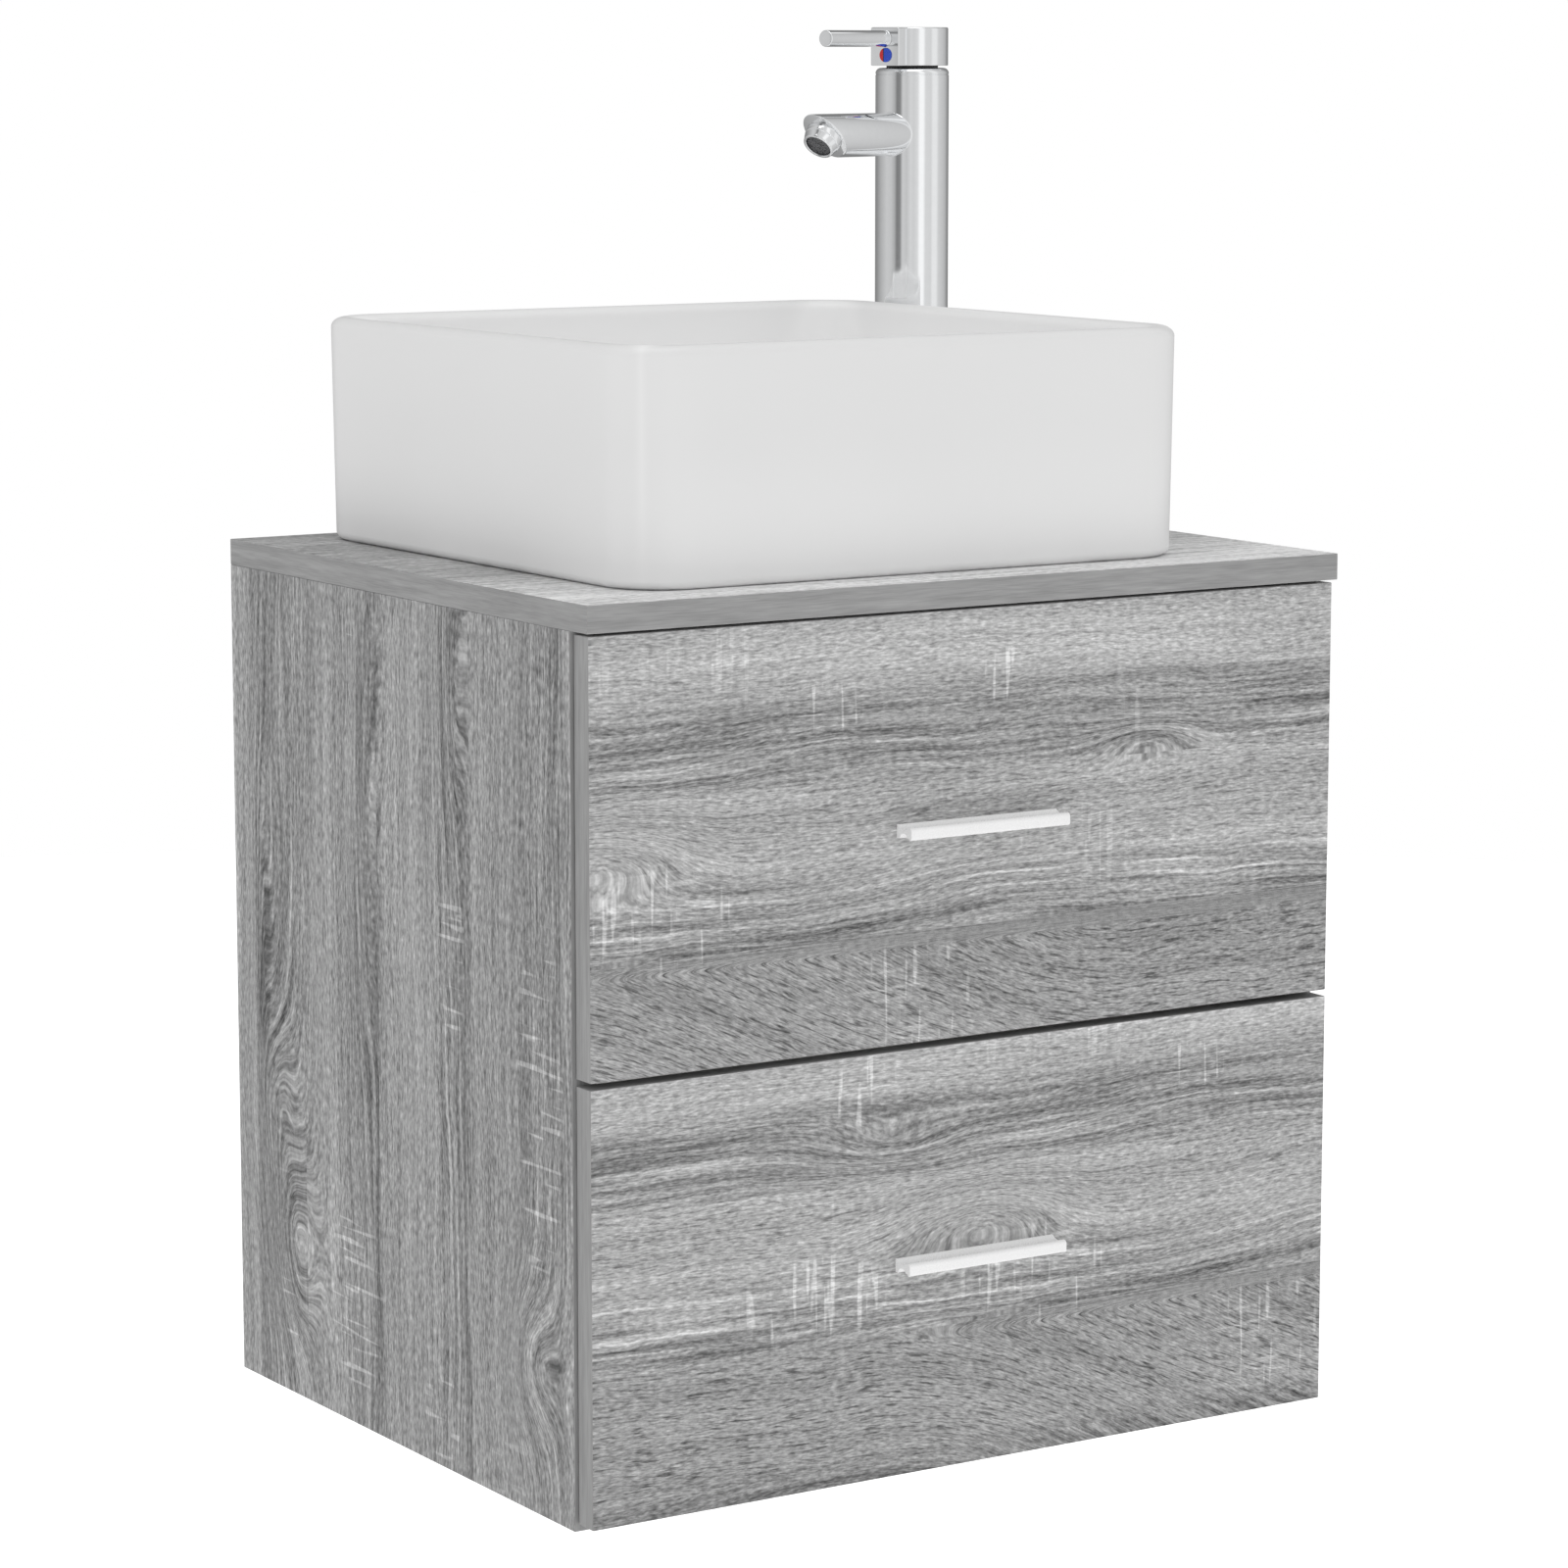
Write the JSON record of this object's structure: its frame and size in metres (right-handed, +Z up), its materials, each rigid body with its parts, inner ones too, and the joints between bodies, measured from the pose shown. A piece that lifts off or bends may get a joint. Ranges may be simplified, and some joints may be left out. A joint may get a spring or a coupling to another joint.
{
  "type": "vessel sink on vanity",
  "caption": "Wall-hung grey oak vanity with drawers under a square white vessel basin and a tall single-lever chrome tap at the back corner.",
  "frame": {"origin": "centre of the back face of the upper rear rail, on the wall plane", "axes": "+X to the right seen from the front, +Y towards the wall, +Z up; the drawers open towards -Y"},
  "size_m": [0.495, 0.427, 0.7973],
  "materials": {
    "grey_oak_laminate": "matt embossed grey oak laminate on chipboard, grain along each board",
    "drawer_board": "matt white laminate on chipboard",
    "zinc_steel": "bright zinc-plated sheet steel",
    "handle_white": "semi-gloss white lacquer",
    "basin_ceramic": "glossy white glaze",
    "chrome": "polished chrome plate",
    "black_rubber": "matt",
    "white_plastic": "smooth white moulding",
    "grey_plastic": "dark grey fine mesh",
    "dot_enamel": "gloss, one half red and one half blue"
  },
  "bodies": {
    "cabinet": {"countertop": "grey_oak_laminate", "side_panel_left": "grey_oak_laminate", "side_panel_right": "grey_oak_laminate", "bottom_panel": "grey_oak_laminate", "upper_rear_rail": "grey_oak_laminate", "lower_rear_rail": "grey_oak_laminate", "wall_hanger_left": "zinc_steel", "wall_hanger_right": "zinc_steel", "upper_cabinet_runner_left": "zinc_steel", "upper_cabinet_runner_right": "zinc_steel", "lower_cabinet_runner_left": "zinc_steel", "lower_cabinet_runner_right": "zinc_steel", "basin": "basin_ceramic", "waste_seal": "black_rubber", "waste_body": "chrome", "waste_washer": "black_rubber", "waste_nut": "zinc_steel", "trap_dip_tube": "white_plastic", "trap_inlet_nut": "white_plastic", "trap_body": "white_plastic", "trap_cup": "white_plastic", "outlet_nut": "white_plastic", "outlet_pipe": "white_plastic", "tap_body": "chrome", "aerator_housing": "chrome", "aerator_insert": "grey_plastic", "tap_gasket": "black_rubber", "tap_shank": "zinc_steel", "shank_nut": "zinc_steel", "cartridge": "white_plastic"},
    "upper_drawer": {"upper_drawer_front": "grey_oak_laminate", "upper_handle": "handle_white", "upper_drawer_side_left": "drawer_board", "upper_drawer_side_right": "drawer_board", "upper_drawer_bottom": "drawer_board", "upper_recess_wall_left": "drawer_board", "upper_recess_wall_right": "drawer_board", "upper_recess_wall_front": "drawer_board", "upper_drawer_back_left": "drawer_board", "upper_drawer_back_right": "drawer_board", "upper_drawer_runner_left": "zinc_steel", "upper_drawer_runner_right": "zinc_steel"},
    "upper_middle_runners": {"upper_middle_runner_left": "zinc_steel", "upper_middle_runner_right": "zinc_steel"},
    "lower_drawer": {"lower_drawer_front": "grey_oak_laminate", "lower_handle": "handle_white", "lower_drawer_side_left": "drawer_board", "lower_drawer_side_right": "drawer_board", "lower_drawer_bottom": "drawer_board", "lower_drawer_back": "drawer_board", "lower_drawer_runner_left": "zinc_steel", "lower_drawer_runner_right": "zinc_steel"},
    "lower_middle_runners": {"lower_middle_runner_left": "zinc_steel", "lower_middle_runner_right": "zinc_steel"},
    "plug": {"waste_plug": "chrome"},
    "lever_turntable": {"cartridge_turntable": "white_plastic"},
    "lever": {"lever_cap": "chrome", "lever_stem": "zinc_steel", "lever_rod": "chrome", "temperature_dot": "dot_enamel"}
  },
  "joints": [
    {"name": "upper_drawer_slide", "type": "slide", "parent": "cabinet", "child": "upper_drawer", "axis": [0, -1, 0], "range_m": [0, 0.27]},
    {"name": "upper_middle_slide", "type": "slide", "parent": "cabinet", "child": "upper_middle_runners", "axis": [0, -1, 0], "range_m": [0, 0.135]},
    {"name": "lower_drawer_slide", "type": "slide", "parent": "cabinet", "child": "lower_drawer", "axis": [0, -1, 0], "range_m": [0, 0.27]},
    {"name": "lower_middle_slide", "type": "slide", "parent": "cabinet", "child": "lower_middle_runners", "axis": [0, -1, 0], "range_m": [0, 0.135]},
    {"name": "plug_lift", "type": "slide", "parent": "cabinet", "child": "plug", "axis": [0, 0, 1], "range_m": [0, 0.008]},
    {"name": "lever_swivel", "type": "hinge", "parent": "cabinet", "child": "lever_turntable", "pos_m": [0.20625, -0.0405, 0.316], "axis": [0, 0, 1], "range_deg": [-45, 45]},
    {"name": "lever_lift", "type": "hinge", "parent": "lever_turntable", "child": "lever", "pos_m": [0.21753, -0.0364, 0.3269], "axis": [-0.342, 0.9397, 0], "range_deg": [0, 20]}
  ],
  "couplings": [
    {"joint": "upper_middle_slide", "follows": "upper_drawer_slide", "ratio": 0.5},
    {"joint": "lower_middle_slide", "follows": "lower_drawer_slide", "ratio": 0.5}
  ]
}
